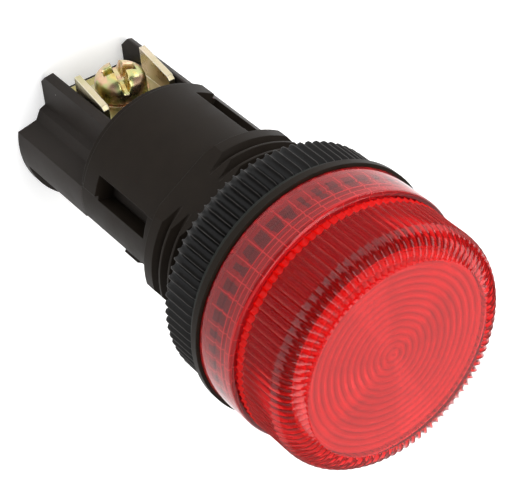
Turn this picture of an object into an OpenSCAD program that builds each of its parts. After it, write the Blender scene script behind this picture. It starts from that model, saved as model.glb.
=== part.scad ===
// Panel pilot light with screw terminals for a 22 mm panel hole.
// Z runs along the lamp's axis towards the lens, and z = 0 is the panel's front face.

/* [Panel fixing] */
// Diameter of the threaded neck over its crests
neck_d = 22; // [21.6:0.1:22.2]
// Distance from the panel face to the back of the neck's collar
neck_l = 12.4; // [11.4:0.1:16]
// Pitch of the neck thread
thread_pitch = 1.5; // [1.2:0.1:1.6]
// Distance of the four flats on the neck from the axis
neck_flat = 10.05; // [9.95:0.05:10.2]
// Angle by which the flats are turned from the terminals
flat_turn = 31; // [0:1:45]
// Diameter of the rim that covers the panel hole
flange_d = 28; // [27.6:0.1:32]
// Thickness of that rim
flange_t = 0.8; // [0.6:0.1:1.5]
// Width of the sealing ring under the rim
gasket_w = 2.55; // [2:0.05:2.75]
// Thickness of the sealing ring
gasket_t = 0.6; // [0.5:0.1:1.2]

/* [Locking nut] */
// Wall of the nut from its bore to its ribs
nut_wall = 2.35; // [2:0.05:3.4]
// Length of the nut along the neck
nut_h = 5; // [3.5:0.1:6]
// Number of grip ribs
nut_ribs = 84; // [40:2:100]
// Depth of the hollows between the ribs
nut_rib_depth = 0.45; // [0.2:0.05:0.6]

/* [Lens] */
// Diameter of the smooth skirt
skirt_d = 27.3; // [27:0.1:27.6]
// Height of the skirt
skirt_h = 5.2; // [4.6:0.1:7]
// Diameter of the fluted cap over its flutes
cap_d = 26.4; // [26.2:0.1:26.8]
// Height of the whole lens
lens_h = 13; // [12:0.1:16]
// Radius of the cap's rounded front edge
nose_r = 2.6; // [1.8:0.1:3]
// Thickness of the front face
face_t = 1.9; // [1.4:0.1:2.4]
// Number of flutes round the cap
flutes = 96; // [48:2:120]
// Depth of the flutes
flute_depth = 0.35; // [0.15:0.05:0.45]
// Number of circular ridges on the inside of the front face
face_rings = 14; // [6:1:18]
// Height of those ridges
face_ring_h = 0.3; // [0.1:0.05:0.4]
// Thickness of the lens wall
lens_wall = 1.2; // [1:0.1:1.4]

/* [Housing] */
// Diameter of the sleeve behind the neck
sleeve_d = 19.8; // [19.4:0.1:20.1]
// Diameter over the lower side walls
side_d = 18.9; // [18.6:0.1:19.3]
// Diameter over the recesses below the side walls
recess_d = 17.5; // [17.2:0.1:17.9]
// Length of the sleeve behind the collar
sleeve_l = 13.6; // [13:0.1:17]
// Angle by which the two windows are turned from the terminals
window_turn = 19; // [0:1:25]
// Length of the windows along the axis
window_l = 8.4; // [5:0.1:8.8]
// Wall between the collar and the windows
window_inset = 2.1; // [0.6:0.1:2.4]
// Bore of the sleeve
sleeve_bore = 15.2; // [14.6:0.1:15.4]

/* [Terminals] */
// Length of the terminal block behind the sleeve
block_l = 12.8; // [12.4:0.1:16]
// Width over the outside of the fins
fin_w = 11.1; // [10.7:0.1:11.6]
// Thickness of each fin
fin_t = 0.9; // [0.7:0.05:1]
// Height of the fins from the axis
fin_top = 8.1; // [7.8:0.1:8.6]
// Height of the terminal seats from the axis
seat_y = 4.6; // [4.3:0.1:4.8]
// Distance from the back of the block to the screws
screw_inset = 7.2; // [6.6:0.1:7.6]
// Diameter of the terminal screws
screw_d = 3; // [2.6:0.1:3.2]
// Diameter of their heads
head_d = 5.5; // [5:0.1:5.8]
// Height of their heads
head_h = 1.5; // [1.3:0.1:2]
// Thickness of the terminal strips
strip_t = 1; // [0.8:0.1:1.2]
// Thickness of the saddle clamps
clamp_t = 0.7; // [0.5:0.05:0.8]
// Travel of the clamps when the screws are loosened
clamp_lift = 2; // [1:0.1:2.4]

/* [Lamp] */
// Diameter of the glass envelope
lamp_d = 6; // [5:0.1:6.4]
// Height of the lamp's tip above the panel face
lamp_tip = 8.4; // [7.6:0.1:9.5]
// Length of the glass envelope
lamp_l = 15.2; // [14:0.1:15.4]
// Diameter of the resistor
resistor_d = 3.2; // [2.4:0.1:3.6]
// Length of the resistor
resistor_l = 9; // [7:0.1:10]

/* [Hidden] */
$fn = 96;
eps = 0.02;
seat_gap = 0.2;
run_gap = 0.05;

thread_depth = 0.5 * thread_pitch;
thread_land = 0.18 * thread_pitch;
thread_inset = 0.4;
collar_h = 1.4;
collar_chamfer = 0.4;
neck_r = neck_d / 2;
gasket_r = neck_r + run_gap + gasket_w;
sleeve_back = -neck_l - sleeve_l;
block_back = sleeve_back - block_l;
flange_front = gasket_t + flange_t;

crown = 42;
window_w = 17;
hoop_w = 14;
hoop_l = sleeve_l - window_inset - window_l + 0.3;

rim_r = 11.2;
rim_h = 4.6;
rim_pads = 24;
head_bore_r = 9.6;
head_floor = -3;

lens_back = flange_front + 0.05;
lens_front = lens_back + lens_h;
cap_r = cap_d / 2;
skirt_r = skirt_d / 2;
cavity_r = cap_r - flute_depth - lens_wall;
roof_z = lens_front - face_t;
cap_back = lens_back + skirt_h + 0.35;
screw_turn_r = rim_r + 0.85;
lens_thread_pitch = 1.3;

nut_front = -seat_gap;
nut_bore_r = neck_r + run_gap;
nut_r = nut_bore_r + nut_wall;
nut_travel = neck_l - collar_h - nut_h - seat_gap;

bore_r = sleeve_bore / 2;
plug_r = bore_r - 0.1;
plug_front = -5;
plug_wall = 1.3;
plug_hollow_r = plug_r - plug_wall;
web_t = 2.2;

screw_z = block_back + screw_inset;
fin_in = fin_w / 2 - fin_t;
strip_top = seat_y + strip_t;
clamp_y = strip_top + run_gap;
washer_y = clamp_y + clamp_t;
washer_t = 0.3;
head_y = washer_y + washer_t + eps;
clamp_w = 2 * fin_in - 0.5;
clamp_l = 7.6;
ear_l = 5.4;
ear_low_h = 2.8;
ear_high_h = 3.9;
shank_end = 1;
well_end = 0.6;
tongue_w = 3;
tongue_l = 7;

lamp_r = lamp_d / 2;
lamp_wall = 0.5;
lamp_back = lamp_tip - lamp_l;
stem_r = 1.3;
stem_l = 2.4;
grommet_t = 2.4;
grommet_wall = 0.6;
wire_r = 0.3;
wire_y = 0.7;
lead_end = 1.2;
resistor_y = 2.1;
resistor_z = sleeve_back + tongue_l - 1;
pin_l = 0.6;
lead_z = resistor_z - pin_l - 1.7;
lead_front = resistor_z + resistor_l + pin_l;
lead_rise = resistor_y - wire_y;
lead_bend_z = (lead_front + lamp_back - lead_rise) / 2;

// A flat-ended ring
module ring(r_out, r_in, h) {
  difference() {
    cylinder(r = r_out, h = h);
    translate([0, 0, -eps]) cylinder(r = r_in, h = h + 2 * eps);
  }
}

// A wedge of the plane between two angles, reaching out to radius r
module sector(from, to, r) {
  steps = ceil((to - from) / 30);
  polygon(concat([[0, 0]], [for (i = [0:steps])
    let (a = from + (to - from) * i / steps) [r * cos(a), r * sin(a)]]));
}

// The part of a tube that lies between two angles
module tube_sector(r_out, r_in, from, to, h) {
  intersection() {
    ring(r_out, r_in, h);
    translate([0, 0, -eps]) linear_extrude(h + 2 * eps) sector(from, to, 2 * r_out);
  }
}

// A round wire through a list of points
module wire(points, r) {
  for (i = [0:len(points) - 2]) {
    step = points[i + 1] - points[i];
    length = norm(step);
    translate(points[i])
      rotate([0, acos(step[2] / length), atan2(step[1], step[0])])
        cylinder(r = r, h = length, $fn = 24);
  }
  for (i = [1:1:len(points) - 2]) translate(points[i]) sphere(r = r * 1.08, $fn = 24);
}

// Repeats a terminal's piece on the upper or the lower side
module on_side(upper) {
  mirror([0, upper ? 0 : 1, 0]) children();
}

// ---- Housing ----

// Outline of the neck thread as stacked rings, from the rim down to the collar
module thread_outline() {
  turns = floor((neck_l - collar_h - thread_inset) / thread_pitch);
  root = neck_r - thread_depth;
  slope = (thread_pitch - 2 * thread_land) / 2;
  polygon(concat(
    [[0, gasket_t + eps], [neck_r, gasket_t + eps], [neck_r, -thread_inset]],
    [for (i = [0:turns - 1]) let (z = -thread_inset - i * thread_pitch) each [
      [root, z - slope], [root, z - slope - thread_land],
      [neck_r, z - thread_pitch + thread_land], [neck_r, z - thread_pitch]]],
    [[neck_r, -neck_l + collar_chamfer], [neck_r - collar_chamfer, -neck_l], [0, -neck_l]]
  ));
}

module neck() {
  intersection() {
    rotate_extrude() thread_outline();
    rotate([0, 0, flat_turn]) translate([-neck_flat, -neck_flat, -neck_l - eps])
      cube([2 * neck_flat, 2 * neck_flat, neck_l + gasket_t + 3 * eps]);
  }
}

// The sleeve: crown and sole at full size, a hoop behind the windows and lower walls at the sides
module sleeve() {
  wall = 81;
  h = sleeve_l + eps;
  translate([0, 0, sleeve_back]) rotate([0, 0, window_turn]) {
    cylinder(d = recess_d, h = h);
    for (a = [90, 270]) intersection() {
      union() {
        translate([0, 0, 0.9]) cylinder(d = sleeve_d, h = h - 0.9);
        cylinder(d = sleeve_d - 0.8, h = h);
      }
      union() {
        translate([0, 0, -eps]) linear_extrude(h + 2 * eps)
          sector(a - crown, a + crown, sleeve_d);
        translate([0, 0, -eps]) linear_extrude(hoop_l + eps)
          sector(a - crown - hoop_w, a + crown + hoop_w, sleeve_d);
      }
    }
    for (side = [0, 1]) mirror([side, 0, 0]) intersection() {
      cylinder(d = side_d, h = h);
      translate([0, 0, -eps]) linear_extrude(h + 2 * eps)
        sector(90 + crown - 1, 90 + wall, sleeve_d);
    }
  }
}

module windows() {
  translate([0, 0, -neck_l - window_inset - window_l]) rotate([0, 0, window_turn])
    for (side = [0, 1]) mirror([side, 0, 0])
      linear_extrude(window_l) intersection() {
        sector(90 + crown - 0.5, 90 + crown + window_w, 2 * sleeve_d);
        difference() {
          circle(d = 2 * sleeve_d);
          circle(r = bore_r - 1);
        }
      }
}

// Screw ring and key pads that the lens turns on
module rim() {
  translate([0, 0, flange_front - eps]) {
    cylinder(r = rim_r, h = rim_h);
    for (i = [0:rim_pads - 1]) rotate([0, 0, i * 360 / rim_pads])
      tube_sector(rim_r + 0.4, rim_r - 0.5, 0, 240 / rim_pads, 1.6);
    translate([0, 0, 2.6]) cylinder(r = rim_r + 0.45, h = 0.45);
    translate([0, 0, 2.6 + lens_thread_pitch]) cylinder(r = rim_r + 0.45, h = 0.45);
  }
}

module housing() {
  color("#33302c") difference() {
    union() {
      translate([0, 0, gasket_t]) cylinder(d = flange_d, h = flange_t);
      rim();
      neck();
      sleeve();
    }
    translate([0, 0, sleeve_back - eps]) cylinder(r = bore_r, h = 60);
    translate([0, 0, head_floor]) cylinder(r = head_bore_r, h = 60);
    windows();
  }
}

module gasket() {
  color("#23261f") ring(gasket_r, neck_r + run_gap, gasket_t);
}

// ---- Locking nut ----

// Ribbed outline: narrow crests with hollows between them
module nut_outline() {
  step = 360 / nut_ribs;
  r = nut_r;
  polygon([for (i = [0:nut_ribs - 1]) each [
    [r * cos((i - 0.12) * step), r * sin((i - 0.12) * step)],
    [r * cos((i + 0.12) * step), r * sin((i + 0.12) * step)],
    [(r - nut_rib_depth) * cos((i + 0.34) * step), (r - nut_rib_depth) * sin((i + 0.34) * step)],
    [(r - nut_rib_depth) * cos((i + 0.66) * step), (r - nut_rib_depth) * sin((i + 0.66) * step)]
  ]]);
}

module locking_nut() {
  chamfer = 0.35;
  r = nut_r + eps;
  color("#1f1d1b") translate([0, 0, nut_front - nut_h]) difference() {
    intersection() {
      linear_extrude(nut_h) nut_outline();
      rotate_extrude() polygon([[0, 0], [r - chamfer, 0], [r, chamfer],
        [r, nut_h - chamfer], [r - chamfer, nut_h], [0, nut_h]]);
    }
    translate([0, 0, -eps]) cylinder(r = nut_bore_r, h = nut_h + 2 * eps);
  }
}

// ---- Lens ----

// Plan of the ribs that stand on the cap, tapering outwards to a narrow crest
module cap_rib_outline() {
  step = 360 / flutes;
  root = cap_r - nose_r + 0.2;
  crest = cap_r + 0.1;
  polygon([for (i = [0:flutes - 1]) each [
    [root * cos((i - 0.5) * step), root * sin((i - 0.5) * step)],
    [crest * cos((i - 0.15) * step), crest * sin((i - 0.15) * step)],
    [crest * cos((i + 0.15) * step), crest * sin((i + 0.15) * step)]
  ]]);
}

// Section of the cap from the axis to radius r, with a rounded nose about the same centre
module cap_section(r) {
  centre = cap_r - nose_r;
  nose = r - centre;
  nose_steps = 6;
  polygon(concat(
    [[0, cap_back], [0, lens_front - nose_r + nose]],
    [for (i = [0:nose_steps]) let (a = 90 - i * 90 / nose_steps)
      [centre + nose * cos(a), lens_front - nose_r + nose * sin(a)]],
    [[r, cap_back]]
  ));
}

// The cap: a smooth face, and ribs that run over the nose and down the side
module cap() {
  rotate_extrude() cap_section(cap_r - flute_depth);
  intersection() {
    rotate_extrude() cap_section(cap_r);
    translate([0, 0, cap_back]) linear_extrude(lens_h) cap_rib_outline();
  }
}

// Section of the hollow: screw ring at the back, plain wall, ridged roof
module lens_hollow() {
  pitch = (cavity_r - 1) / face_rings;
  step_z = lens_back + skirt_h - 0.4;
  polygon(concat(
    [[0, lens_back - eps], [screw_turn_r, lens_back - eps], [screw_turn_r, step_z], [cavity_r, step_z],
      [cavity_r, roof_z - 0.7], [cavity_r - 0.7, roof_z]],
    [for (i = [face_rings:-1:1]) each [[i * pitch, roof_z], [(i - 0.5) * pitch, roof_z - face_ring_h]]],
    [[0, roof_z]]
  ));
}

module lens() {
  shoulder = 0.3;
  color([0.85, 0.05, 0.1, 0.75]) difference() {
    union() {
      cap();
      translate([0, 0, lens_back]) rotate_extrude() polygon([
        [0, 0], [skirt_r, 0], [skirt_r, skirt_h - shoulder], [skirt_r - shoulder, skirt_h],
        [cap_r - flute_depth - 0.1, skirt_h], [cap_r - flute_depth - 0.1, cap_back - lens_back + 0.1],
        [0, cap_back - lens_back + 0.1]]);
    }
    rotate_extrude() lens_hollow();
  }
}

// ---- Terminal block ----

// Half section of the block behind the sleeve, on the +X side
module block_section() {
  key_y = 1.9;
  polygon([
    [0, -seat_y], [fin_in, -seat_y], [fin_in, -fin_top], [fin_w / 2, -fin_top],
    [fin_w / 2, -3.8], [fin_w / 2 + 0.75, -3.5], [fin_w / 2 + 1.35, -2.4],
    [side_d / 2, -key_y], [side_d / 2, key_y],
    [fin_w / 2 + 1.35, 2.4], [fin_w / 2 + 0.75, 3.5], [fin_w / 2, 3.8],
    [fin_w / 2, fin_top], [fin_in, fin_top], [fin_in, seat_y], [0, seat_y]
  ]);
}

// Cuts the back corners of the fins and of the side keys
module back_chamfers() {
  for (side = [0, 1]) mirror([0, side, 0])
    translate([-fin_w, fin_top - 1.3, block_back]) rotate([45, 0, 0])
      translate([0, 0, -2]) cube([2 * fin_w, 4, 2 + eps]);
}

module terminal_block() {
  plug_l = plug_front - sleeve_back;
  color("#35322e") difference() {
    union() {
      translate([0, 0, block_back]) intersection() {
        linear_extrude(block_l - eps) for (side = [0, 1]) mirror([side, 0]) block_section();
        cylinder(d = side_d, h = block_l);
      }
      lower_barrier();
      translate([0, 0, sleeve_back - 0.4]) cylinder(r = plug_r, h = plug_l + 0.4);
    }
    translate([0, 0, sleeve_back + web_t]) cylinder(r = plug_hollow_r, h = plug_l - web_t - 2);
    translate([0, 0, plug_front - 3]) cylinder(r = lamp_r + grommet_wall + 0.02, h = 4);
    for (upper = [true, false]) on_side(upper) {
      translate([-tongue_w / 2, seat_y, sleeve_back - 1])
        cube([tongue_w, strip_t, web_t + 2]);
      translate([0, well_end, screw_z]) rotate([-90, 0, 0]) cylinder(r = screw_d / 2 + 0.4, h = seat_y);
    }
    back_chamfers();
  }
}

// Wings that close the lower corners at the back
module lower_barrier() {
  wing_t = 1.1;
  translate([0, 0, block_back]) for (side = [0, 1]) mirror([side, 0, 0])
    intersection() {
      cylinder(d = side_d, h = wing_t);
      translate([fin_w / 2 - fin_t, -fin_top, -eps]) cube([side_d, fin_top, wing_t + 2 * eps]);
    }
}

// ---- Terminals ----

module terminal_strip() {
  seat_l = block_l - 2.2;
  difference() {
    union() {
      translate([-clamp_w / 2, seat_y, sleeve_back - 0.6 - seat_l]) cube([clamp_w, strip_t, seat_l]);
      translate([-tongue_w / 2, seat_y, sleeve_back - 0.7]) cube([tongue_w, strip_t, tongue_l]);
    }
    translate([0, seat_y - eps, screw_z]) rotate([-90, 0, 0])
      cylinder(r = screw_d / 2 + run_gap, h = strip_t + 2 * eps);
    translate([0, seat_y - eps, lead_z]) rotate([-90, 0, 0])
      cylinder(r = wire_r + run_gap, h = strip_t + 2 * eps, $fn = 32);
  }
}

module upper_terminal_strip() {
  color("#b89a4a") on_side(true) terminal_strip();
}

module lower_terminal_strip() {
  color("#b89a4a") on_side(false) terminal_strip();
}

// U-shaped saddle with two upturned ears, each sloping up towards the back
module clamp() {
  plate_front = screw_z + clamp_l / 2 + 0.4;
  ear_front = plate_front - 0.5;
  ear_back = ear_front - ear_l;
  difference() {
    union() {
      translate([-clamp_w / 2, clamp_y, plate_front - clamp_l]) cube([clamp_w, clamp_t, clamp_l]);
      for (side = [0, 1]) mirror([side, 0, 0]) translate([clamp_w / 2, 0, 0])
        rotate([0, -90, 0]) linear_extrude(clamp_t) polygon([
          [ear_back, clamp_y], [ear_front, clamp_y], [ear_front, clamp_y + ear_low_h - 0.4],
          [ear_front - 0.4, clamp_y + ear_low_h], [ear_back, clamp_y + ear_high_h]]);
    }
    translate([0, clamp_y - eps, screw_z]) rotate([-90, 0, 0])
      cylinder(r = screw_d / 2 + 0.15, h = clamp_t + 2 * eps);
  }
}

module upper_clamp() {
  color("#c9b27a") on_side(true) clamp();
}

module lower_clamp() {
  color("#c9b27a") on_side(false) clamp();
}

module washer() {
  translate([0, washer_y, screw_z]) rotate([-90, 0, 0]) ring(head_d / 2 + 0.25, screw_d / 2 + 0.15, washer_t);
}

module upper_washer() {
  color("#b39a3c") on_side(true) washer();
}

module lower_washer() {
  color("#b39a3c") on_side(false) washer();
}

// Pan head with a cross recess and a slot
module screw() {
  drive_turn = 25;
  cross_l = 3.2;
  cross_w = 0.8;
  cross_depth = 1;
  slot_w = 0.7;
  slot_depth = 0.6;
  edge = 0.8;
  crown_h = 0.3;
  translate([0, 0, screw_z]) rotate([-90, 0, 0]) difference() {
    union() {
      translate([0, 0, shank_end]) cylinder(d = screw_d, h = head_y - shank_end + eps);
      translate([0, 0, head_y]) rotate_extrude() polygon(concat(
        [[0, 0], [head_d / 2, 0], [head_d / 2, head_h - edge]],
        [for (i = [1:4]) let (a = i * 22.5)
          [head_d / 2 - edge + edge * cos(a), head_h - edge + edge * sin(a)]],
        [[0.4 * head_d / 2, head_h + crown_h], [0, head_h + crown_h]]));
    }
    rotate([0, 0, drive_turn]) {
      for (a = [0, 90]) rotate([0, 0, a])
        translate([-cross_l / 2, -cross_w / 2, head_y + head_h - cross_depth]) cube([cross_l, cross_w, head_h]);
      translate([-head_d, -slot_w / 2, head_y + head_h - slot_depth]) cube([2 * head_d, slot_w, head_h]);
    }
  }
}

module upper_screw() {
  color("#cbb45c") on_side(true) screw();
}

module lower_screw() {
  color("#cbb45c") on_side(false) screw();
}

// ---- Lamp and wiring ----

module lamp_glass() {
  r = lamp_r;
  wall = lamp_wall;
  color([0.9, 0.85, 0.8, 0.4]) rotate_extrude() polygon(concat(
    [[stem_r, lamp_back], [r - 0.4, lamp_back], [r, lamp_back + 0.4]],
    [for (i = [0:5]) let (a = i * 15) [r * cos(a), lamp_tip - r + r * sin(a)]],
    [[0, lamp_tip], [0, lamp_tip - wall]],
    [for (i = [5:-1:0]) let (a = i * 15) [(r - wall) * cos(a), lamp_tip - r + (r - wall) * sin(a)]],
    [[r - wall, lamp_back + 1.2], [stem_r, lamp_back + 1.2]]
  ));
}

module lamp_stem() {
  color([0.8, 0.8, 0.75, 0.6]) translate([0, 0, lamp_back])
    difference() {
      cylinder(r = stem_r - eps, h = stem_l);
      for (y = [-wire_y, wire_y]) translate([0, y, -eps]) cylinder(r = wire_r + eps, h = stem_l + 2 * eps, $fn = 24);
    }
}

module lamp_electrodes() {
  rod_l = 8;
  color("#9a958c") for (y = [-wire_y, wire_y]) translate([0, y, lamp_back + lead_end]) {
    cylinder(r = wire_r, h = stem_l - lead_end + eps, $fn = 24);
    translate([0, 0, stem_l - lead_end]) cylinder(r = 0.5, h = rod_l, $fn = 32);
  }
}

module lamp_grommet() {
  color("#8a8378") translate([0, 0, plug_front - 2]) ring(lamp_r + grommet_wall, lamp_r + 0.02, grommet_t);
}

module resistor() {
  color("#b9a27c") {
    translate([0, resistor_y, resistor_z]) rotate_extrude() polygon([
      [0, 0], [resistor_d / 2 - 0.2, 0], [resistor_d / 2, 0.3], [resistor_d / 2, 1.5],
      [resistor_d / 2 - 0.2, 1.9], [resistor_d / 2 - 0.2, resistor_l - 1.9], [resistor_d / 2, resistor_l - 1.5],
      [resistor_d / 2, resistor_l - 0.3], [resistor_d / 2 - 0.2, resistor_l], [0, resistor_l]]);
    translate([0, resistor_y, resistor_z - pin_l])
      cylinder(r = wire_r, h = resistor_l + 2 * pin_l, $fn = 24);
  }
}

// From the back of the resistor to the upper strip
module upper_lead() {
  color("#c8c4ba") wire([[0, resistor_y, resistor_z - pin_l], [0, resistor_y, lead_z],
    [0, strip_top, lead_z]], wire_r);
}

// From the front of the resistor to the lamp
module lamp_lead() {
  color("#c8c4ba") wire([[0, resistor_y, lead_front], [0, resistor_y, lead_bend_z],
    [0, wire_y, lead_bend_z + lead_rise], [0, wire_y, lamp_back + lead_end]], wire_r);
}

// From the lower strip past the resistor to the lamp
module lower_lead() {
  color("#c8c4ba") wire([[0, -strip_top, lead_z], [0, -resistor_y, lead_z], [0, -resistor_y, lead_bend_z],
    [0, -wire_y, lead_bend_z + lead_rise], [0, -wire_y, lamp_back + lead_end]], wire_r);
}

// Insulating sleeve over the lower lead
module lead_sleeve() {
  inset = 1.5;
  color("#d8d2c4") translate([0, -resistor_y, lead_z + inset])
    ring(wire_r + 0.45, wire_r + 0.1, lead_bend_z - lead_z - 2 * inset);
}

housing();
gasket();
locking_nut();
lens();
terminal_block();
upper_terminal_strip();
lower_terminal_strip();
upper_clamp();
lower_clamp();
upper_washer();
lower_washer();
upper_screw();
lower_screw();
lamp_glass();
lamp_stem();
lamp_electrodes();
lamp_grommet();
resistor();
upper_lead();
lower_lead();
lamp_lead();
lead_sleeve();
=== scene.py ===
from math import cos, pi, radians, sin, tau

import bpy
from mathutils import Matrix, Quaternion, Vector


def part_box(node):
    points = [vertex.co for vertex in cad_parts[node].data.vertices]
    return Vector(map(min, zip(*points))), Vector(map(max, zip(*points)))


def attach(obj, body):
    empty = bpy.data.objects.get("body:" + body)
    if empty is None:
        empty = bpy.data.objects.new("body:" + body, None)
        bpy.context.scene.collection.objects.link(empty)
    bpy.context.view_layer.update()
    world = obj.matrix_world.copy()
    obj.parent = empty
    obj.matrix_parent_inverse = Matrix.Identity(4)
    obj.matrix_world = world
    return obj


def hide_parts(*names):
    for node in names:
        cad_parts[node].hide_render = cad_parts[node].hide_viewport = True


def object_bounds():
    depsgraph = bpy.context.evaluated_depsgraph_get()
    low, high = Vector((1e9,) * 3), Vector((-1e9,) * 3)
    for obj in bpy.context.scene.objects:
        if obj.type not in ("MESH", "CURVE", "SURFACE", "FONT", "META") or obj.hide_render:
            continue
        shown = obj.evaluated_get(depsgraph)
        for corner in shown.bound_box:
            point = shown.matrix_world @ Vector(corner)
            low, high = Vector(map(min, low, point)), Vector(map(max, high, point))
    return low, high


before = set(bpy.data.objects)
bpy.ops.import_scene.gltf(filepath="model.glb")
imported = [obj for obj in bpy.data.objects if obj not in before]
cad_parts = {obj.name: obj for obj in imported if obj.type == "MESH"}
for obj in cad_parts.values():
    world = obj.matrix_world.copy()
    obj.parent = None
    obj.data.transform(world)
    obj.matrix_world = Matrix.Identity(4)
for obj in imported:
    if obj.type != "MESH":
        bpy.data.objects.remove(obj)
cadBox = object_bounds()
mm = 0.001
print("frame loaded:", len(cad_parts), "nodes")


# camera

cameraSettings = {
    "place": (-90.73, 137.42, 136.74),  # mm
    "lookAt": (0.76, -1.54, -9.06),
    "roll": 129.06,  # degrees, the lamp lies with its lens down to the right
    "lens": 152.6,
    "sensor": 36,
    "near": 5,  # mm
}


def makeCamera(s):
    data = bpy.data.cameras.new("camera")
    data.lens = s["lens"]
    data.sensor_width = s["sensor"]
    data.clip_start = s["near"] * mm
    camera = bpy.data.objects.new("camera", data)
    place = Vector(s["place"]) * mm
    toObject = Vector(s["lookAt"]) * mm - place
    aim = toObject.to_track_quat("-Z", "Y")
    camera.location = place
    camera.rotation_mode = "QUATERNION"
    camera.rotation_quaternion = aim @ Quaternion((0, 0, 1), radians(s["roll"]))
    bpy.context.scene.collection.objects.link(camera)
    bpy.context.scene.camera = camera


makeCamera(cameraSettings)
print("camera placed")


# node helpers, for shader and geometry trees alike

def addNode(tree, kind, inputs=None, **props):
    node = tree.nodes.new(kind)
    for name, value in props.items():
        setattr(node, name, value)
    for key, value in (inputs or {}).items():
        if isinstance(value, bpy.types.NodeSocket):
            tree.links.new(value, node.inputs[key])
        else:
            node.inputs[key].default_value = value
    return node


def addMath(tree, operation, a, b=0.0, c=0.0, clamp=False):
    node = addNode(tree, "ShaderNodeMath", {0: a, 1: b, 2: c}, operation=operation, use_clamp=clamp)
    return node.outputs[0]


def addRange(tree, value, low, high, toLow=0.0, toHigh=1.0):
    node = addNode(tree, "ShaderNodeMapRange", {0: value, 1: low, 2: high, 3: toLow, 4: toHigh})
    return node.outputs[0]


def addMix(tree, factor, a, b):
    # a and b: sockets, or colours of red, green and blue
    a, b = (value if isinstance(value, bpy.types.NodeSocket) else (*value, 1) for value in (a, b))
    return addNode(tree, "ShaderNodeMix", {0: factor, 6: a, 7: b}, data_type="RGBA").outputs[2]


def addTurns(tree, x, y):
    # angle round the lamp's axis, in turns
    return addMath(tree, "DIVIDE", addMath(tree, "ARCTAN2", y, x), tau)


def addPhase(tree, turns, count, shift):
    # place within one of count equal parts of a turn
    return addMath(tree, "FRACT", addMath(tree, "MULTIPLY_ADD", turns, count, shift))


def addFold(tree, phase):
    # 1 at both ends of a phase and 0 at its middle
    return addMath(tree, "ABSOLUTE", addMath(tree, "MULTIPLY_ADD", phase, 2.0, -1.0))


aboveZero = 1000.0  # whole parts added so that a fraction is never taken below 0


def newGroup(name, kind, inputs, outputs):
    tree = bpy.data.node_groups.new(name, kind)
    for side, sockets in (("INPUT", inputs), ("OUTPUT", outputs)):
        for label, socketKind, *value in sockets:
            socket = tree.interface.new_socket(label, in_out=side, socket_type="NodeSocket" + socketKind)
            if value:
                socket.default_value = value[0]
    return tree, tree.nodes.new("NodeGroupInput").outputs, tree.nodes.new("NodeGroupOutput")


# shader groups that several materials share

def makeGrainGroup():
    # fine and coarse unevenness of a moulded or plated surface
    tree, source, sink = newGroup("surfaceGrain", "ShaderNodeTree", [
        ("Fine Scale", "Float", 3000.0), ("Coarse Scale", "Float", 300.0),
    ], [("Height", "Float"), ("Mottle", "Float")])
    place = addNode(tree, "ShaderNodeTexCoord").outputs["Object"]
    fine = addNode(tree, "ShaderNodeTexNoise", {
        "Vector": place, "Scale": source["Fine Scale"], "Detail": 2.0})
    coarse = addNode(tree, "ShaderNodeTexNoise", {
        "Vector": place, "Scale": source["Coarse Scale"], "Detail": 4.0, "Roughness": 0.6})
    height = addMath(tree, "MULTIPLY_ADD", fine.outputs[0], 0.5, coarse.outputs[0])
    tree.links.new(height, sink.inputs["Height"])
    tree.links.new(coarse.outputs[0], sink.inputs["Mottle"])
    return tree


def makeEdgeGroup():
    # 1 along sharp edges, from how far a rounded normal turns away from the true one
    tree, source, sink = newGroup("edgeMask", "ShaderNodeTree", [
        ("Width", "Float", 0.0002), ("Strength", "Float", 4.0),
    ], [("Mask", "Float"), ("Normal", "Vector")])
    bevel = addNode(tree, "ShaderNodeBevel", {"Radius": source["Width"]}, samples=6)
    true = addNode(tree, "ShaderNodeNewGeometry").outputs["Normal"]
    turn = addNode(tree, "ShaderNodeVectorMath", {0: bevel.outputs[0], 1: true}, operation="DOT_PRODUCT")
    away = addMath(tree, "SUBTRACT", 1.0, turn.outputs["Value"])
    mask = addMath(tree, "MULTIPLY", away, source["Strength"], clamp=True)
    tree.links.new(mask, sink.inputs["Mask"])
    tree.links.new(bevel.outputs[0], sink.inputs["Normal"])
    return tree


def makeDustGroup():
    # scattered pale specks of dust
    tree, source, sink = newGroup("dustSpecks", "ShaderNodeTree", [
        ("Scale", "Float", 900.0), ("Size", "Float", 0.09), ("Share", "Float", 0.03),
    ], [("Mask", "Float")])
    place = addNode(tree, "ShaderNodeTexCoord").outputs["Object"]
    cells = addNode(tree, "ShaderNodeTexVoronoi", {"Vector": place, "Scale": source["Scale"]})
    near = addMath(tree, "LESS_THAN", cells.outputs["Distance"], source["Size"])
    shade = addNode(tree, "ShaderNodeSeparateColor", {0: cells.outputs["Color"]})
    chosen = addMath(tree, "LESS_THAN", shade.outputs[0], source["Share"])
    tree.links.new(addMath(tree, "MULTIPLY", near, chosen), sink.inputs["Mask"])
    return tree


grainGroup = makeGrainGroup()
edgeGroup = makeEdgeGroup()
dustGroup = makeDustGroup()


def useGroup(tree, group, inputs):
    return addNode(tree, "ShaderNodeGroup", inputs, node_tree=group).outputs


def addGrain(tree, look):
    return useGroup(tree, grainGroup, {"Fine Scale": look["fine"], "Coarse Scale": look["coarse"]})


def addEdge(tree, look):
    return useGroup(tree, edgeGroup, {"Width": look["edge"] * mm, "Strength": look["edgeStrength"]})


def addPlace(tree):
    # object coordinates, whole and as x, y and z
    place = addNode(tree, "ShaderNodeTexCoord").outputs["Object"]
    return place, *addNode(tree, "ShaderNodeSeparateXYZ", {0: place}).outputs


def addRadius(tree):
    # distance from the lamp's axis
    _, x, y, _ = addPlace(tree)
    return addMath(tree, "SQRT", addMath(tree, "MULTIPLY_ADD", x, x, addMath(tree, "MULTIPLY", y, y)))


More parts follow.
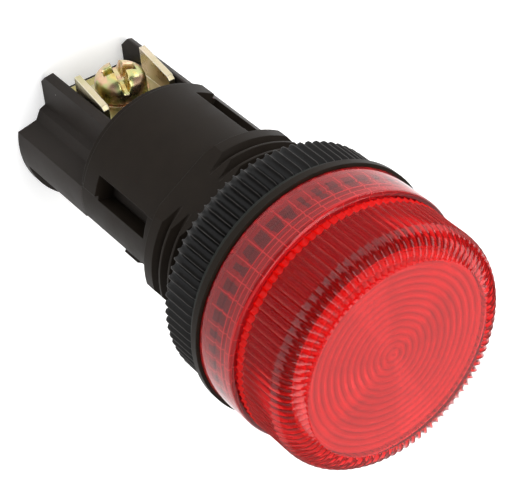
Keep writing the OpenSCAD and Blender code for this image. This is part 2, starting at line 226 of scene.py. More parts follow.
def newMaterial(name):
    material = bpy.data.materials.new(name)
    material.use_nodes = True
    tree = material.node_tree
    shader = tree.nodes["Principled BSDF"]
    return material, tree, shader


mottleSpan = (0.3, 0.7)  # the grain's mottle lies mostly between these


def setRoughness(tree, shader, grain, low, high):
    rough = addRange(tree, grain["Mottle"], *mottleSpan, low, high)
    tree.links.new(rough, shader.inputs["Roughness"])


def setBump(tree, shader, look, inputs):
    # inputs: the height, and a normal to start from where it isn't the surface's own
    bump = addNode(tree, "ShaderNodeBump", dict(inputs, Strength=look["bump"], Distance=look["bumpDepth"] * mm))
    tree.links.new(bump.outputs[0], shader.inputs["Normal"])


def makePlastic(name, look):
    # satin moulded plastic with fine grain and a little dust, a painted highlight along its sharp edges and,
    # where a look gives one, painted shade in the hollows between ribs
    material, tree, shader = newMaterial(name)
    grain = addGrain(tree, look)
    edge = addEdge(tree, look)
    dust = useGroup(tree, dustGroup, {
        "Scale": look["dustScale"], "Size": look["dustSize"], "Share": look["dustShare"]})
    base = addMix(tree, grain["Mottle"], look["dark"], look["light"])
    # painted shade: darker towards the bottom of the hollows between ribs, by distance from the axis
    hollow = look.get("hollow")
    if hollow:
        depth = addRange(tree, addRadius(tree), hollow["bottom"] * mm, hollow["top"] * mm, 1.0, 0.0)
        base = addMix(tree, depth, base, hollow["color"])
    # painted highlight: paler colour along sharp edges, where light catches a rounded edge
    edgeHighlighted = addMix(tree, edge["Mask"], base, look["edgeHighlightColor"])
    tree.links.new(addMix(tree, dust["Mask"], edgeHighlighted, look["dustColor"]), shader.inputs["Base Color"])
    spread = look["roughnessSpread"]
    setRoughness(tree, shader, grain, look["roughness"] - spread, look["roughness"] + spread)
    shader.inputs["IOR"].default_value = look["ior"]
    shader.inputs["Specular IOR Level"].default_value = look["specular"]
    setBump(tree, shader, look, {"Height": grain["Height"], "Normal": edge["Normal"]})
    return material


# in these looks the edge colour is a painted highlight along sharp edges
housingLook = {
    "dark": (0.013, 0.0095, 0.007), "light": (0.021, 0.016, 0.012), "edgeHighlightColor": (0.045, 0.04, 0.035),
    "edge": 0.12, "edgeStrength": 2.5, "roughness": 0.42, "roughnessSpread": 0.06,
    "ior": 1.5, "specular": 0.05, "bump": 0.25, "bumpDepth": 0.04,
    "fine": 5000.0, "coarse": 420.0,
    "dustScale": 900.0, "dustSize": 0.07, "dustShare": 0.035, "dustColor": (0.25, 0.24, 0.22),
}
nutLook = dict(housingLook, dark=(0.007, 0.006, 0.005), light=(0.013, 0.011, 0.010), roughness=0.34,
               specular=0.12, edgeHighlightColor=(0.13, 0.125, 0.12), edgeStrength=4.0, dustShare=0.04, dustSize=0.09,
               # this colour is painted shade at the bottom of the hollows between the ribs
               hollow={"bottom": 12.95, "top": 13.32, "color": (0.002, 0.002, 0.002)})
gasketLook = dict(housingLook, dark=(0.007, 0.010, 0.007), light=(0.012, 0.016, 0.012), roughness=0.62,
                  edgeHighlightColor=(0.02, 0.024, 0.02), specular=0.2)
blockLook = dict(housingLook, dark=(0.031, 0.026, 0.023), light=(0.042, 0.036, 0.032), roughness=0.42)

housingPlastic = makePlastic("housingPlastic", housingLook)
nutPlastic = makePlastic("nutPlastic", nutLook)
gasketRubber = makePlastic("gasketRubber", gasketLook)
blockPlastic = makePlastic("blockPlastic", blockLook)


def setRedGlass(tree, shader, grain, look):
    setRoughness(tree, shader, grain, look["roughness"], look["roughness"] * look["roughnessGain"])
    shader.inputs["Transmission Weight"].default_value = look["transmission"]
    shader.inputs["IOR"].default_value = look["ior"]
    shader.inputs["Specular IOR Level"].default_value = look["specular"]


def makeRedLens(name, look, crest=None):
    # red plastic that light passes through, with a painted highlight along the crests between the flutes
    material, tree, shader = newMaterial(name)
    grain = addGrain(tree, look)
    base = addMix(tree, grain["Mottle"], look["dark"], look["light"])
    # painted highlight: paler colour on the flute crests, by angle round the axis
    if crest:
        _, x, y, _ = addPlace(tree)
        offHollow = addFold(tree, addPhase(tree, addTurns(tree, x, y), crest["count"], aboveZero))
        base = addMix(tree, addMath(tree, "POWER", offHollow, crest["sharpness"]), base, crest["color"])
    tree.links.new(base, shader.inputs["Base Color"])
    setRedGlass(tree, shader, grain, look)
    setBump(tree, shader, look, {"Height": grain["Height"]})
    return material


def makeKeyedWall(name, look):
    # inner wall of the skirt: moulded blocks in a ring, fine lines along the axis and round it
    material, tree, shader = newMaterial(name)
    place, x, y, z = addPlace(tree)
    cell = addPhase(tree, addTurns(tree, x, y), look["cells"], look["cellShift"])
    off = addMath(tree, "ABSOLUTE", addMath(tree, "SUBTRACT", cell, 0.5))
    low, high = (edge * mm for edge in look["blockHeight"])
    inRow = addMath(tree, "MULTIPLY", addMath(tree, "GREATER_THAN", z, low),
                    addMath(tree, "LESS_THAN", z, high))
    uneven = addNode(tree, "ShaderNodeTexNoise", {"Vector": place, "Scale": look["unevenScale"], "Detail": 1.0})
    narrow, wide = (share / 2 for share in look["blockShare"])
    halfBlock = addRange(tree, uneven.outputs[0], *look["unevenSpan"], narrow, wide)
    block = addMath(tree, "MULTIPLY", inRow, addMath(tree, "LESS_THAN", off, halfBlock))
    axisLine = addMath(tree, "GREATER_THAN", off, 0.5 - look["lineShare"])
    rise = addMath(tree, "DIVIDE", addMath(tree, "SUBTRACT", z, high), look["ringPitch"] * mm)
    onRing = addMath(tree, "LESS_THAN", addMath(tree, "FRACT", rise), look["ringShare"])
    ringLine = addMath(tree, "MULTIPLY", onRing, addMath(tree, "GREATER_THAN", rise, 0.0))
    line = addMath(tree, "MAXIMUM", axisLine, ringLine)
    ground = addMix(tree, block, look["ground"], look["block"])
    tree.links.new(addMix(tree, line, ground, look["line"]), shader.inputs["Base Color"])
    setRedGlass(tree, shader, addGrain(tree, look), look)
    return material


def makeRingedWall(name, look, pitch):
    # inside of the face: each circular ridge has painted shade towards its crease
    material, tree, shader = newMaterial(name)
    across = addMath(tree, "FRACT", addMath(tree, "DIVIDE", addRadius(tree), pitch))
    # painted shade: darker towards each ring's crease, by distance from the axis
    crease = addMath(tree, "POWER", addFold(tree, across), look["creaseSharpness"])
    grain = addGrain(tree, look)
    clear = addMix(tree, grain["Mottle"], look["dark"], look["light"])
    tree.links.new(addMix(tree, crease, clear, look["crease"]), shader.inputs["Base Color"])
    setRedGlass(tree, shader, grain, look)
    return material


fluteCount = 96  # round the lens

lensLook = {
    "dark": (0.62, 0.0, 0.001), "light": (0.76, 0.0, 0.003), "transmission": 0.74,
    "roughness": 0.06, "roughnessGain": 1.5, "ior": 1.18, "specular": 0.5,
    "bump": 0.04, "bumpDepth": 0.02, "fine": 2500.0, "coarse": 160.0,
}
skirtLook = dict(lensLook, dark=(0.88, 0.03, 0.04), light=(0.95, 0.05, 0.06), transmission=0.93, ior=1.36,
                 roughness=0.04)
edgeLook = dict(lensLook, dark=(0.95, 0.001, 0.001), light=(1.0, 0.010, 0.006), transmission=0.35)
noseLook = dict(lensLook, dark=(0.66, 0.0, 0.001), light=(0.78, 0.0, 0.003), transmission=0.92, ior=1.42)
faceLook = dict(lensLook, dark=(0.96, 0.05, 0.055), light=(1.0, 0.07, 0.075), transmission=1.0, ior=1.5,
                roughness=0.03)
# the crease colour is painted shade in the ring creases
ringLook = dict(lensLook, dark=(1.0, 0.06, 0.06), light=(1.0, 0.085, 0.085), crease=(0.70, 0.03, 0.04),
                creaseSharpness=2.0, transmission=0.28, roughness=0.05, ior=1.5)
# the wall's cells are shifted by half of one, and by whole ones that keep the phase above 0
wallLook = dict(lensLook, cells=45.0, cellShift=100.5, blockHeight=(2.0, 3.8), blockShare=(0.24, 0.8),
                unevenScale=260.0, unevenSpan=(0.35, 0.65), lineShare=0.04, ringPitch=0.62, ringShare=0.22,
                ground=(0.40, 0.012, 0.018), block=(0.07, 0.02, 0.024), line=(0.90, 0.10, 0.11),
                transmission=0.4, roughness=0.25, ior=1.4)
# these crest colours are painted highlights on the flute crests
sideCrestHighlight = {"count": fluteCount, "sharpness": 6.0, "color": (1.0, 0.13, 0.12)}
noseCrestHighlight = {"count": fluteCount, "sharpness": 3.0, "color": (1.0, 0.08, 0.07)}

redLens = makeRedLens("redLens", lensLook, sideCrestHighlight)
redLensSkirt = makeRedLens("redLensSkirt", skirtLook)
redLensEdge = makeRedLens("redLensEdge", edgeLook)
redLensNose = makeRedLens("redLensNose", noseLook, noseCrestHighlight)
redLensFace = makeRedLens("redLensFace", faceLook)
redLensWall = makeKeyedWall("redLensWall", wallLook)


def makePlated(name, look):
    # thin plate on metal: its colour drifts from place to place, with a painted highlight along the edges
    material, tree, shader = newMaterial(name)
    grain = addGrain(tree, look)
    edge = addEdge(tree, look)
    place = addNode(tree, "ShaderNodeTexCoord").outputs["Object"]
    film = addNode(tree, "ShaderNodeTexNoise", {"Vector": place, "Scale": look["film"], "Detail": 3.0})
    ramp = addNode(tree, "ShaderNodeValToRGB", {0: film.outputs[0]})
    stops = ramp.color_ramp.elements
    first, *others, last = look["colors"]
    for index, (position, color) in enumerate((first, last)):
        stops[index].position, stops[index].color = position, (*color, 1)
    for position, color in others:
        stops.new(position).color = (*color, 1)
    # painted highlight: paler colour along the edges
    edgeHighlighted = addMix(tree, edge["Mask"], ramp.outputs[0], look["edgeHighlightColor"])
    tree.links.new(edgeHighlighted, shader.inputs["Base Color"])
    shader.inputs["Metallic"].default_value = 1.0
    spread = look["roughnessSpread"]
    setRoughness(tree, shader, grain, look["roughness"] - spread, look["roughness"] + spread)
    setBump(tree, shader, look, {"Height": grain["Height"], "Normal": edge["Normal"]})
    return material


# in these looks the edge colour is a painted highlight along the edges
screwLook = {
    "colors": [(0.3, (0.40, 0.26, 0.07)), (0.42, (0.62, 0.50, 0.18)), (0.5, (0.42, 0.46, 0.20)),
               (0.58, (0.66, 0.42, 0.28)), (0.7, (0.62, 0.54, 0.28))],
    "edge": 0.15, "edgeStrength": 3.0, "edgeHighlightColor": (0.78, 0.70, 0.50), "film": 350.0,
    "roughness": 0.28, "roughnessSpread": 0.08, "bump": 0.3, "bumpDepth": 0.03,
    "fine": 4000.0, "coarse": 500.0,
}
clampLook = dict(screwLook, edgeHighlightColor=(0.85, 0.82, 0.76), film=200.0, roughness=0.3, colors=[
    (0.3, (0.40, 0.39, 0.22)), (0.5, (0.50, 0.45, 0.28)), (0.7, (0.62, 0.52, 0.40))])
stripLook = dict(clampLook, colors=[(0.3, (0.40, 0.36, 0.14)), (0.7, (0.62, 0.54, 0.24))])
wireLook = dict(screwLook, colors=[(0.3, (0.62, 0.61, 0.58)), (0.7, (0.76, 0.75, 0.72))],
                edgeHighlightColor=(0.8, 0.8, 0.78))

screwPlate = makePlated("screwPlate", screwLook)
clampPlate = makePlated("clampPlate", clampLook)
stripPlate = makePlated("stripPlate", stripLook)
tinnedWire = makePlated("tinnedWire", wireLook)


lampLook = {
    "dark": (0.95, 0.93, 0.9), "light": (1, 0.99, 0.97), "roughness": 0.03, "ior": 1.48,
    "fine": 2000.0, "coarse": 200.0,
}


def makeLampGlass(look):
    material, tree, shader = newMaterial("lampGlass")
    base = addMix(tree, addGrain(tree, look)["Mottle"], look["dark"], look["light"])
    tree.links.new(base, shader.inputs["Base Color"])
    shader.inputs["Transmission Weight"].default_value = 1.0
    shader.inputs["Roughness"].default_value = look["roughness"]
    shader.inputs["IOR"].default_value = look["ior"]
    return material


lampGlass = makeLampGlass(lampLook)

siliconeLook = dict(gasketLook, dark=(0.34, 0.31, 0.27), light=(0.42, 0.39, 0.34), edgeHighlightColor=(0.5, 0.47, 0.42))
resistorLook = dict(gasketLook, dark=(0.45, 0.33, 0.19), light=(0.58, 0.45, 0.28), edgeHighlightColor=(0.6, 0.5, 0.34),
                    roughness=0.4)
tubeLook = dict(gasketLook, dark=(0.60, 0.57, 0.50), light=(0.70, 0.67, 0.60), edgeHighlightColor=(0.75, 0.72, 0.66),
                roughness=0.5)
silicone = makePlastic("silicone", siliconeLook)
resistorCoat = makePlastic("resistorCoat", resistorLook)
insulatingTube = makePlastic("insulatingTube", tubeLook)
print("materials made")

nodeMaterials = {
    "housing": housingPlastic, "gasket": gasketRubber, "terminal_block": blockPlastic,
    "upper_terminal_strip": stripPlate, "lower_terminal_strip": stripPlate,
    "upper_clamp": clampPlate, "lower_clamp": clampPlate,
    "upper_washer": screwPlate, "lower_washer": screwPlate,
    "lamp_glass": lampGlass, "lamp_stem": lampGlass, "lamp_electrodes": tinnedWire,
    "lamp_grommet": silicone, "resistor": resistorCoat,
    "upper_lead": tinnedWire, "lower_lead": tinnedWire, "lamp_lead": tinnedWire,
    "lead_sleeve": insulatingTube,
}
for nodeName, material in nodeMaterials.items():
    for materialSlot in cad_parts[nodeName].material_slots:
        materialSlot.material = material


# pieces made by turning an outline, then shaped by a geometry tree

def turnOutline(name, outline, steps):
    # outline: points of radius and height in mm, closed round a solid wall, each with a mask
    # that is above 0 where ribs are cut and below 0 where a thread is
    vertices, faces, masks, rings = [], [], [], []
    for radius, height, mask in outline:
        count = 1 if radius == 0 else steps
        rings.append((len(vertices), count))
        for i in range(count):
            angle = tau * i / steps
            vertices.append((radius * cos(angle) * mm, radius * sin(angle) * mm, height * mm))
            masks.append(mask)
    for k in range(len(rings)):
        (startA, countA), (startB, countB) = rings[k], rings[(k + 1) % len(rings)]
        if countA == 1 and countB == 1:
            continue
        for i in range(steps):
            j = (i + 1) % steps
            a, b = startA + i % countA, startA + j % countA
            c, d = startB + j % countB, startB + i % countB
            faces.append(list(dict.fromkeys((a, b, c, d))))  # three corners where a ring is one point
    mesh = bpy.data.meshes.new(name)
    mesh.from_pydata(vertices, [], faces)
    attribute = mesh.attributes.new("relief", "FLOAT", "POINT")
    attribute.data.foreach_set("value", masks)
    piece = bpy.data.objects.new(name, mesh)
    bpy.context.scene.collection.objects.link(piece)
    return piece


def endTree(tree, source, sink, offset):
    # moves the points, makes instances real and sets the material
    shaped = addNode(tree, "GeometryNodeSetPosition", {"Geometry": source["Geometry"], "Offset": offset})
    real = addNode(tree, "GeometryNodeRealizeInstances", {0: shaped.outputs[0]})
    dressed = addNode(tree, "GeometryNodeSetMaterial", {
        "Geometry": real.outputs[0], "Material": source["Material"]})
    tree.links.new(dressed.outputs[0], sink.inputs[0])


def makeReliefTree():
    # ribs along the axis and a helical thread, pressed into a turned piece along its normals
    tree, source, sink = newGroup("turnedRelief", "GeometryNodeTree", [
        ("Geometry", "Geometry"), ("Rib Count", "Float", 96.0), ("Rib Depth", "Float", 0.0003),
        ("Rib Sharpness", "Float", 1.0), ("Thread Pitch", "Float", 0.0015), ("Thread Depth", "Float", 0.0003),
        ("Material", "Material"),
    ], [("Geometry", "Geometry")])
    mask = addNode(tree, "GeometryNodeInputNamedAttribute", {"Name": "relief"}, data_type="FLOAT").outputs[0]
    position = addNode(tree, "GeometryNodeInputPosition").outputs[0]
    x, y, z = addNode(tree, "ShaderNodeSeparateXYZ", {0: position}).outputs
    turns = addTurns(tree, x, y)
    ribPhase = addPhase(tree, turns, source["Rib Count"], aboveZero)
    ribWave = addMath(tree, "POWER", addMath(tree, "SINE", addMath(tree, "MULTIPLY", ribPhase, pi)),
                      source["Rib Sharpness"])
    ribMask = addMath(tree, "MAXIMUM", mask, 0.0)
    ribDrop = addMath(tree, "MULTIPLY", addMath(tree, "MULTIPLY", ribWave, ribMask), source["Rib Depth"])
    threadTurns = addMath(tree, "ADD", addMath(tree, "DIVIDE", z, source["Thread Pitch"]), aboveZero)
    threadPhase = addMath(tree, "FRACT", addMath(tree, "SUBTRACT", threadTurns, turns))
    threadWave = addMath(tree, "PINGPONG", threadPhase, 0.5)  # up to a half, so the depth is doubled
    threadMask = addMath(tree, "MAXIMUM", addMath(tree, "MULTIPLY", mask, -1.0), 0.0)
    threadDrop = addMath(tree, "MULTIPLY", addMath(tree, "MULTIPLY", threadWave, threadMask),
                         addMath(tree, "MULTIPLY", source["Thread Depth"], 2.0))
    drop = addMath(tree, "MULTIPLY", addMath(tree, "ADD", ribDrop, threadDrop), -1.0)
    normal = addNode(tree, "GeometryNodeInputNormal").outputs[0]
    offset = addNode(tree, "ShaderNodeVectorMath", {0: normal, "Scale": drop}, operation="SCALE").outputs[0]
    endTree(tree, source, sink, offset)
    return tree


reliefTree = makeReliefTree()


def applyTree(piece, tree, values):
    # keeps the mesh that the tree makes, without its modifier
    modifier = piece.modifiers.new("relief", "NODES")
    modifier.node_group = tree
    ids = {item.name: item.identifier for item in tree.interface.items_tree if item.in_out == "INPUT"}
    for name, value in values.items():
        modifier[ids[name]] = value
    evaluated = piece.evaluated_get(bpy.context.evaluated_depsgraph_get())
    mesh = bpy.data.meshes.new_from_object(evaluated)
    mesh.name = piece.name
    piece.modifiers.remove(modifier)
    piece.data = mesh


def arc(centreR, centreZ, radius, fromDegrees, toDegrees, steps, mask=0.0):
    # outline points on part of a circle
    points = []
    for i in range(steps + 1):
        angle = radians(fromDegrees + (toDegrees - fromDegrees) * i / steps)
        points.append((centreR + radius * cos(angle), centreZ + radius * sin(angle), mask))
    return points


def shadeSmooth(piece, angle):
    for polygon in piece.data.polygons:
        polygon.use_smooth = True
    piece.data.set_sharp_from_angle(angle=radians(angle))


# lens

lensSettings = {
    "flutes": fluteCount, "stepsPerFlute": 6, "fluteDepth": 0.3, "fluteSharpness": 0.8,
    "capRadius": 13.2, "capStart": 5.32, "bandHeights": (0, 0.4, 0.8), "sideSteps": 4,
    "noseRadius": 2.55, "noseSteps": 12, "faceInsets": (0.06, 1.5), "faceCore": 5.0,
    "skirtHeight": 5.2, "footChamfer": 0.15, "shoulder": 0.45, "shoulderSteps": 5, "grooveRadius": 13.0,
    "wallRadius": 11.65, "skirtBore": 12.05, "boreHeight": 4.8, "boreStep": 0.4,
    "roof": 1.9, "roofFillet": 0.8, "filletStart": 75, "filletSteps": 4,
    "rings": 14, "ringMargin": 0.9, "ringDepth": 0.2,
    "threadRings": 3, "threadStart": 0.5, "threadPitch": 1.3, "threadDepth": 0.25, "threadFlank": 0.15,
    "smoothBelow": 28,  # degrees
}


def ringPitch(s):
    return (s["wallRadius"] - s["ringMargin"]) / s["rings"]


redLensRings = makeRingedWall("redLensRings", ringLook, ringPitch(lensSettings) * mm)


def lensOutline(s):
    # up the outside from the foot of the skirt, over the face, and back down the inside
    low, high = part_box("lens")
    back, front, skirt = low.z / mm, high.z / mm, high.x / mm
    foot, shoulder, skirtTop = s["footChamfer"], s["shoulder"], back + s["skirtHeight"]
    points = [(skirt - foot, back, 0.0), (skirt, back + foot, 0.0)]
    points += arc(skirt - shoulder, skirtTop - shoulder, shoulder, 0, 90, s["shoulderSteps"])

    capBack = back + s["capStart"]
    cap, nose, groove = s["capRadius"], s["noseRadius"], s["grooveRadius"]
    points += [(groove, skirtTop, 0.0), (groove, capBack, 0.0)]
    points += [(cap, capBack + height, 1.0) for height in s["bandHeights"]]
    side, steps = front - nose - capBack, s["sideSteps"]
    points += [(cap, capBack + side * i / steps, 1.0) for i in range(1, steps)]
    points += arc(cap - nose, front - nose, nose, 0, 90, s["noseSteps"], 1.0)
    points += [(cap - nose - inset, front, 0.0) for inset in s["faceInsets"]]
    points += [(s["faceCore"], front, 0.0), (0, front, 0.0)]

    roof, pitch, fillet = front - s["roof"], ringPitch(s), s["roofFillet"]
    crease = roof - s["ringDepth"]
    points.append((0, crease, 0.0))
    for i in range(s["rings"]):
        points += [((i + 0.5) * pitch, roof, 0.0), ((i + 1) * pitch, crease, 0.0)]
    points += arc(s["wallRadius"] - fillet, roof - fillet, fillet, s["filletStart"], 0, s["filletSteps"])

    bore, boreTop, flank = s["skirtBore"], back + s["boreHeight"], s["threadFlank"]
    crest = bore - s["threadDepth"]
    points += [(s["wallRadius"], boreTop, 0.0), (bore, boreTop, 0.0)]
    for i in range(s["threadRings"]):
        z = boreTop - s["threadStart"] - i * s["threadPitch"]
        points += [(bore, z, 0.0), (crest, z - flank, 0.0),
                   (crest, z - 2 * flank, 0.0), (bore, z - 3 * flank, 0.0)]
    points += [(bore, back + s["boreStep"], 0.0), (bore, back, 0.0)]
    return points


dressSettings = {
    "margin": 0.1, "bandHeight": 0.9, "bandInset": 0.3,  # mm
    "noseTilt": -0.05,  # the nose's normals lean no further back than this
}


def dressLens(piece, s, dress):
    # the same red plastic, clear outside and more clouded where its inside is shaped
    low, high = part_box("lens")
    looks = {"skirt": redLensSkirt, "band": redLensEdge, "rings": redLensRings,
             "wall": redLensWall, "face": redLensFace, "nose": redLensNose}
    for material in looks.values():
        piece.data.materials.append(material)
    slots = {part: index for index, part in enumerate(looks, 1)}
    margin = dress["margin"]
    faceRadius = (s["capRadius"] - s["noseRadius"]) * mm
    ringTop = high.z - margin * mm
    ringBottom = ringTop - (s["roof"] + s["ringDepth"] + margin) * mm
    skirtTop = low.z + (s["skirtHeight"] + margin) * mm
    bandTop = low.z + (s["capStart"] + dress["bandHeight"]) * mm
    bandRadius = (s["grooveRadius"] - dress["bandInset"]) * mm
    boreRadius = (s["skirtBore"] + margin) * mm
    noseBottom = high.z - s["noseRadius"] * mm
    for polygon in piece.data.polygons:
        height, radius = polygon.center.z, polygon.center.xy.length
        if ringBottom < height < ringTop and radius < faceRadius:
            polygon.material_index = slots["rings"]
        elif height > ringTop and radius < faceRadius:
            polygon.material_index = slots["face"]
        elif height > noseBottom and radius > faceRadius and polygon.normal.z > dress["noseTilt"]:
            polygon.material_index = slots["nose"]
        elif height < skirtTop:
            polygon.material_index = slots["wall"] if radius < boreRadius else slots["skirt"]
        elif height < bandTop and radius > bandRadius:
            polygon.material_index = slots["band"]


def makeLens(s):
    piece = turnOutline("lensCap", lensOutline(s), s["flutes"] * s["stepsPerFlute"])
    applyTree(piece, reliefTree, {
        "Rib Count": float(s["flutes"]), "Rib Depth": s["fluteDepth"] * mm,
        "Rib Sharpness": s["fluteSharpness"], "Material": redLens})
    shadeSmooth(piece, s["smoothBelow"])
    dressLens(piece, s, dressSettings)
    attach(piece, "lens_cap")
    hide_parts("lens")
    print("lens made:", len(piece.data.polygons), "faces")


makeLens(lensSettings)


# locking nut

nutSettings = {
    "ribs": 84, "stepsPerRib": 8, "ribDepth": 0.5, "ribSharpness": 0.55,
    "lip": 0.9, "chamfer": 0.4, "chamferRelief": 0.6, "endInset": 0.05, "sideInset": 0.08,
    "bore": 11.05, "boreChamfer": 0.6, "threadPitch": 1.5, "threadDepth": 0.7, "threadSteps": 26,
    "smoothBelow": 35,  # degrees
}


def nutOutline(s):
    # over the ribbed outside from back to front, and back through the threaded bore
    low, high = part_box("locking_nut")
    back, front, radius = low.z / mm, high.z / mm, high.x / mm
    chamfer, relief, end = s["chamfer"], s["chamferRelief"], s["endInset"]
    lip, corner, side = radius - s["lip"], radius - chamfer, radius - s["sideInset"]
    points = [(lip, back, 0.0), (corner, back + end, relief), (side, back + chamfer, 1.0)]
    points += [(radius, z, 1.0) for z in (back + 2 * chamfer, (back + front) / 2, front - 2 * chamfer)]
    points += [(side, front - chamfer, 1.0), (corner, front - end, relief), (lip, front, 0.0)]
    bore, mouth, steps = s["bore"], s["boreChamfer"], s["threadSteps"]
    points += [(bore + mouth, front, 0.0), (bore, front - mouth, 0.0)]
    for i in range(1, steps):
        points.append((bore, front - mouth + (back - front + 2 * mouth) * i / steps, -1.0))
    points += [(bore, back + mouth, 0.0), (bore + mouth, back, 0.0)]
    return points


def makeNut(s):
    piece = turnOutline("lockingNut", nutOutline(s), s["ribs"] * s["stepsPerRib"])
    applyTree(piece, reliefTree, {
        "Rib Count": float(s["ribs"]), "Rib Depth": s["ribDepth"] * mm, "Rib Sharpness": s["ribSharpness"],
        "Thread Pitch": s["threadPitch"] * mm, "Thread Depth": s["threadDepth"] * mm,
        "Material": nutPlastic})
    shadeSmooth(piece, s["smoothBelow"])
    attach(piece, "nut")
    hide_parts("locking_nut")
    print("nut made:", len(piece.data.polygons), "faces")


makeNut(nutSettings)


# terminal screws: domed heads with a cross recess and a slot

screwSettings = {
    "steps": 144, "rings": 22, "shankRadius": 1.5, "seatGap": 0.02, "rimChamfer": 0.1, "rim": 1.2,
    "dome": 1.7, "domePower": 3, "crossTurn": -72.5, "crossLength": 3.5, "crossWidth": 1.2, "crossDepth": 1.5,
    "slotWidth": 1.0, "slotDepth": 1.6, "softEdge": 0.25,
    "smoothBelow": 40,  # degrees
}


def makeRecessTree():
    # presses a cross and a slot into the top of a turned head, each down to a flat floor
    tree, source, sink = newGroup("driveRecess", "GeometryNodeTree", [
        ("Geometry", "Geometry"), ("Top", "Float", 0.0026), ("Turn", "Float", 0.0),
        ("Cross Length", "Float", 0.0037), ("Cross Width", "Float", 0.001), ("Cross Depth", "Float", 0.0015),
        ("Slot Width", "Float", 0.0008), ("Slot Depth", "Float", 0.001), ("Soft Edge", "Float", 0.0002),
        ("Material", "Material"),
    ], [("Geometry", "Geometry")])
    position = addNode(tree, "GeometryNodeInputPosition").outputs[0]
    turned = addNode(tree, "ShaderNodeVectorRotate", {"Vector": position, "Angle": source["Turn"]},
                     rotation_type="Z_AXIS").outputs[0]
    u, v, _ = addNode(tree, "ShaderNodeSeparateXYZ", {0: turned}).outputs
    _, _, z = addNode(tree, "ShaderNodeSeparateXYZ", {0: position}).outputs

    def inside(value, width):
        half = addMath(tree, "MULTIPLY", width, 0.5)
        edge = addMath(tree, "SUBTRACT", half, addMath(tree, "ABSOLUTE", value))
        return addMath(tree, "DIVIDE", edge, source["Soft Edge"], clamp=True)

    def sunk(mask, depth):
        above = addMath(tree, "SUBTRACT", z, addMath(tree, "SUBTRACT", source["Top"], depth))
        return addMath(tree, "MULTIPLY", addMath(tree, "MAXIMUM", above, 0.0), mask)

    along = addMath(tree, "MULTIPLY", inside(u, source["Cross Length"]), inside(v, source["Cross Width"]))
    across = addMath(tree, "MULTIPLY", inside(v, source["Cross Length"]), inside(u, source["Cross Width"]))
    cross = sunk(addMath(tree, "MAXIMUM", along, across), source["Cross Depth"])
    slot = sunk(inside(v, source["Slot Width"]), source["Slot Depth"])
    drop = addMath(tree, "MULTIPLY", addMath(tree, "MAXIMUM", cross, slot), -1.0)
    offset = addNode(tree, "ShaderNodeCombineXYZ", {2: drop}).outputs[0]
    endTree(tree, source, sink, offset)
    return tree


recessTree = makeRecessTree()


def screwOutline(s, radius, base, end):
    # from the end of the shank to the top of the head
    shank, chamfer, brim = s["shankRadius"], s["rimChamfer"], base + s["rim"]
    points = [(0, end, 0.0), (shank, end, 0.0), (shank, base, 0.0), (radius - chamfer, base, 0.0),
              (radius, base + chamfer, 0.0), (radius, brim, 0.0)]
    for i in range(1, s["rings"] + 1):
        along = radius * (1 - i / s["rings"])
        rise = (1 - (along / radius) ** s["domePower"]) ** 0.5
        points.append((along, brim + s["dome"] * rise, 0.0))
    return points


def makeScrew(side, sign, s):
    node = side + "_screw"
    low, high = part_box(node)
    seat = max(abs(corner.y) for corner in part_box(side + "_washer")) / mm + s["seatGap"]
    end = min(abs(low.y), abs(high.y)) / mm
    piece = turnOutline(side + "ScrewHead", screwOutline(s, high.x / mm, seat, end), s["steps"])
    applyTree(piece, recessTree, {
        "Top": (seat + s["rim"] + s["dome"]) * mm, "Turn": radians(s["crossTurn"]),
        "Cross Length": s["crossLength"] * mm, "Cross Width": s["crossWidth"] * mm,
        "Cross Depth": s["crossDepth"] * mm, "Slot Width": s["slotWidth"] * mm,
        "Slot Depth": s["slotDepth"] * mm, "Soft Edge": s["softEdge"] * mm, "Material": screwPlate})
    # the head was turned about z and now points up or down, along y
    middle = (low.z + high.z) / 2
    for vertex in piece.data.vertices:
        x, y, z = vertex.co
        vertex.co = (x, sign * z, middle - y)
    if sign < 0:
        piece.data.flip_normals()
    shadeSmooth(piece, s["smoothBelow"])
    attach(piece, side + "_screw_body")
    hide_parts(node)
    print(side, "screw made:", len(piece.data.polygons), "faces")


makeScrew("upper", 1, screwSettings)
makeScrew("lower", -1, screwSettings)


# floor, lights and world

stageSettings = {
    "floorSize": 1.6, "floorColor": (0.82, 0.82, 0.82), "floorGlow": 0.4,
    "brightSide": (0.0, -0.75, 0.66), "brightStrength": 1.15, "dimStrength": 0.15,
    "fade": (-0.3, 0.8),  # how far toward the bright side it is dim, and bright
    "seenStrength": 1.0,
}
white = (1, 1, 1, 1)


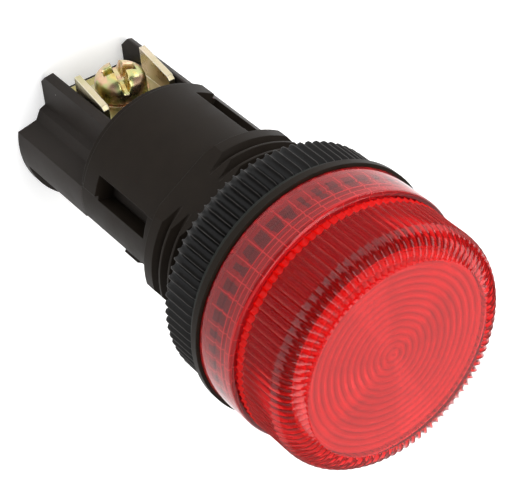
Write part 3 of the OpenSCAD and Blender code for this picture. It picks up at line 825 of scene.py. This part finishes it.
def makeFloor(s):
    low = cadBox[0][2]
    half = s["floorSize"] / 2
    corners = [(-half, -half, low), (half, -half, low), (half, half, low), (-half, half, low)]
    mesh = bpy.data.meshes.new("floor")
    mesh.from_pydata(corners, [], [(0, 1, 2, 3)])
    floor = bpy.data.objects.new("floor", mesh)
    bpy.context.scene.collection.objects.link(floor)
    material, tree, shader = newMaterial("paleFloor")
    tree.nodes.remove(shader)
    diffuse = addNode(tree, "ShaderNodeBsdfDiffuse", {"Color": (*s["floorColor"], 1)})
    path = addNode(tree, "ShaderNodeLightPath").outputs
    seen = addMath(tree, "MAXIMUM", path["Is Camera Ray"],
                   addMath(tree, "MAXIMUM", path["Is Glossy Ray"], path["Is Transmission Ray"]))
    glow = addNode(tree, "ShaderNodeEmission", {
        "Color": white, "Strength": addMath(tree, "MULTIPLY", seen, s["floorGlow"])})
    both = addNode(tree, "ShaderNodeAddShader", {0: diffuse.outputs[0], 1: glow.outputs[0]})
    tree.links.new(both.outputs[0], tree.nodes["Material Output"].inputs["Surface"])
    mesh.materials.append(material)


def makeWorld(s):
    # a soft room, brighter on one side, and plain white where it is seen itself
    world = bpy.data.worlds.new("studio")
    world.use_nodes = True
    tree = world.node_tree
    toward = addNode(tree, "ShaderNodeTexCoord").outputs["Generated"]
    facing = addNode(tree, "ShaderNodeVectorMath", {0: toward, 1: s["brightSide"]}, operation="DOT_PRODUCT")
    room = addRange(tree, facing.outputs["Value"], *s["fade"], s["dimStrength"], s["brightStrength"])
    path = addNode(tree, "ShaderNodeLightPath").outputs
    seen = addMath(tree, "MAXIMUM", path["Is Camera Ray"], path["Is Transmission Ray"])
    strength = addNode(tree, "ShaderNodeMix", {0: seen, 2: room, 3: s["seenStrength"]}).outputs[0]
    background = tree.nodes["Background"]
    background.inputs["Color"].default_value = white
    tree.links.new(strength, background.inputs["Strength"])
    bpy.context.scene.world = world


lamps = {  # place and size in mm, power in watts
    "keyLight": {"place": (40, 300, 260), "size": 260, "power": 0.7},
    "rimLight": {"place": (260, 200, -40), "size": 120, "power": 0.2},
    "faceLight": {"place": (80, 60, 420), "size": 380, "power": 1.1},
}


def makeLamp(name, s):
    data = bpy.data.lights.new(name, "AREA")
    data.shape = "SQUARE"
    data.size = s["size"] * mm
    data.energy = s["power"]
    lamp = bpy.data.objects.new(name, data)
    lamp.location = Vector(s["place"]) * mm
    lamp.rotation_mode = "QUATERNION"
    lamp.rotation_quaternion = (-lamp.location).to_track_quat("-Z", "Y")
    bpy.context.scene.collection.objects.link(lamp)


makeFloor(stageSettings)
makeWorld(stageSettings)
for lampName, lampSettings in lamps.items():
    makeLamp(lampName, lampSettings)
bpy.context.scene.view_settings.view_transform = "Standard"
print("floor, lights and world made")
